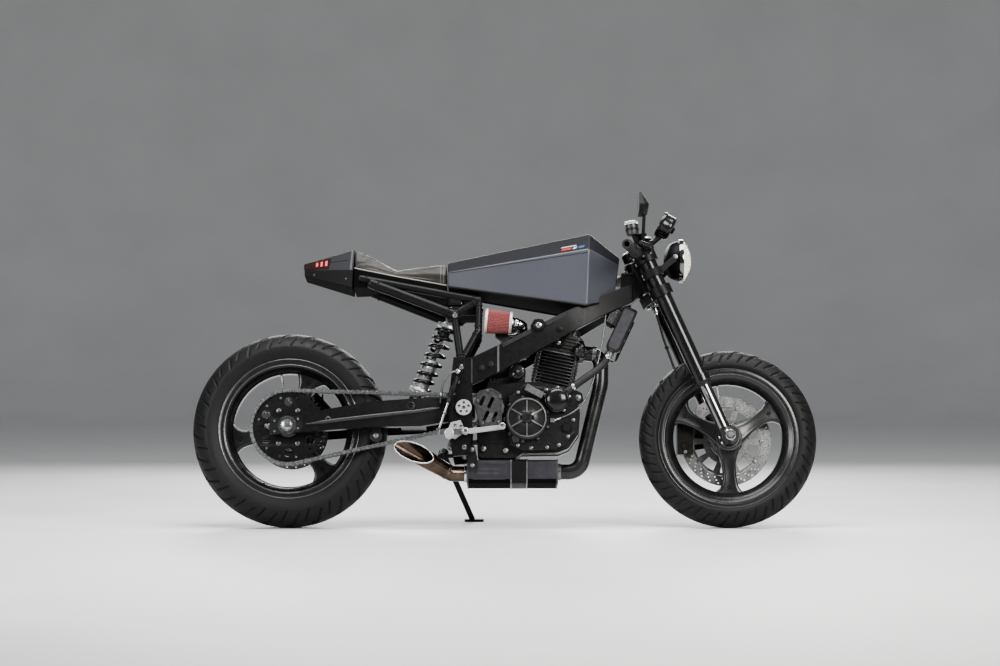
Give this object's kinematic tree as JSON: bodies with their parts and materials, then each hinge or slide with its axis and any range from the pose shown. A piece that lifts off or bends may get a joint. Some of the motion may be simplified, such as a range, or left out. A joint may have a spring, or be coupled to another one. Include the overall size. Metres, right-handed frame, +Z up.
{
  "type": "motorcycle",
  "caption": "Custom street motorcycle with a faceted tank, short tail, belly silencer and clip-on bars, parked on its side stand.",
  "frame": {"origin": "on the floor, under the middle of the leaning motorcycle's box", "axes": "+X forward, +Z up, +Y to the motorcycle's left; it leans 9 degrees towards +Y onto its side stand"},
  "size_m": [2.0593, 0.702, 1.0992],
  "materials": {
    "black_metal": "satin black powder coat",
    "black_plastic": "matt black",
    "bright_steel": "polished steel",
    "caliper_gold": "gold anodised",
    "cast_black": "satin black cast wheels",
    "engine_black": "satin black enamel on castings",
    "exhaust_steel": "heat-tinted steel",
    "filter_red": "red pleated filter gauze",
    "fork_chrome": "hard chrome",
    "grey_alloy": "brushed alloy",
    "lamp_lens": "clear domed lens, lit warm white",
    "mirror_face": "silvered glass",
    "seat_leather": "dark brown leather, matt",
    "silencer_grey": "satin grey coating",
    "soft_rubber": "matt black rubber",
    "tail_red": "red lens, lit",
    "tank_paint": "satin metallic grey",
    "tyre_rubber": "matt black rubber"
  },
  "bodies": {
    "chassis": {"air_filter": "filter_red", "carburettor": "grey_alloy", "cross_tubes": "black_metal", "drive_chain": "bright_steel", "engine_covers": "engine_black", "engine_crankcase": "engine_black", "engine_hoses": "soft_rubber", "engine_top_end": "engine_black", "exhaust_header": "exhaust_steel", "exhaust_tip": "exhaust_steel", "foot_levers": "bright_steel", "footrests": "bright_steel", "frame_beams": "black_metal", "fuel_tank": "tank_paint", "pivot_plates": "black_metal", "radiator": "grey_alloy", "rear_axle": "bright_steel", "rear_caliper": "caliper_gold", "seat": "seat_leather", "seat_tray": "black_plastic", "shock_absorber": "grey_alloy", "shock_spring": "black_metal", "silencer": "silencer_grey", "steering_head": "black_metal", "subframe": "black_metal", "swingarm": "engine_black", "swingarm_bridge": "engine_black", "tail": "tank_paint", "tail_lamp": "tail_red"},
    "steering": {"lower_yoke": "engine_black", "upper_yoke": "engine_black", "fork_outer_tubes": "engine_black", "fork_sliders": "fork_chrome", "fork_feet": "engine_black", "front_axle": "bright_steel", "clip_on_bars": "black_metal", "grips": "soft_rubber", "hand_levers": "black_metal", "mirror": "black_plastic", "mirror_glass": "mirror_face", "instrument": "black_plastic", "headlight_bucket": "black_metal", "headlight_lens": "lamp_lens", "headlight_bracket": "black_metal", "front_caliper": "caliper_gold", "front_brake_hose": "soft_rubber"},
    "front_wheel": {"front_wheel": "cast_black", "front_tyre": "tyre_rubber", "front_disc": "bright_steel"},
    "rear_wheel": {"rear_wheel": "cast_black", "rear_tyre": "tyre_rubber", "rear_disc": "bright_steel", "rear_sprocket": "bright_steel"},
    "side_stand": {"side_stand": "black_metal"}
  },
  "joints": [
    {"name": "steering", "type": "hinge", "parent": "chassis", "child": "steering", "pos_m": [0.48662, -0.01978, 0.74771], "axis": [-0.4067, 0.1429, 0.9023], "range_deg": [-28, 28]},
    {"name": "front_wheel_spin", "type": "hinge", "parent": "steering", "child": "front_wheel", "pos_m": [0.7367, -0.09226, 0.29007], "axis": [0, 0.9877, -0.1564], "continuous": true},
    {"name": "rear_wheel_spin", "type": "hinge", "parent": "chassis", "child": "rear_wheel", "pos_m": [-0.7087, -0.08782, 0.31807], "axis": [0, 0.9877, -0.1564], "continuous": true},
    {"name": "side_stand_fold", "type": "hinge", "parent": "chassis", "child": "side_stand", "pos_m": [-0.2056, 0.05291, 0.235], "axis": [0.0909, 0.8758, 0.474], "range_deg": [0, 110]}
  ]
}
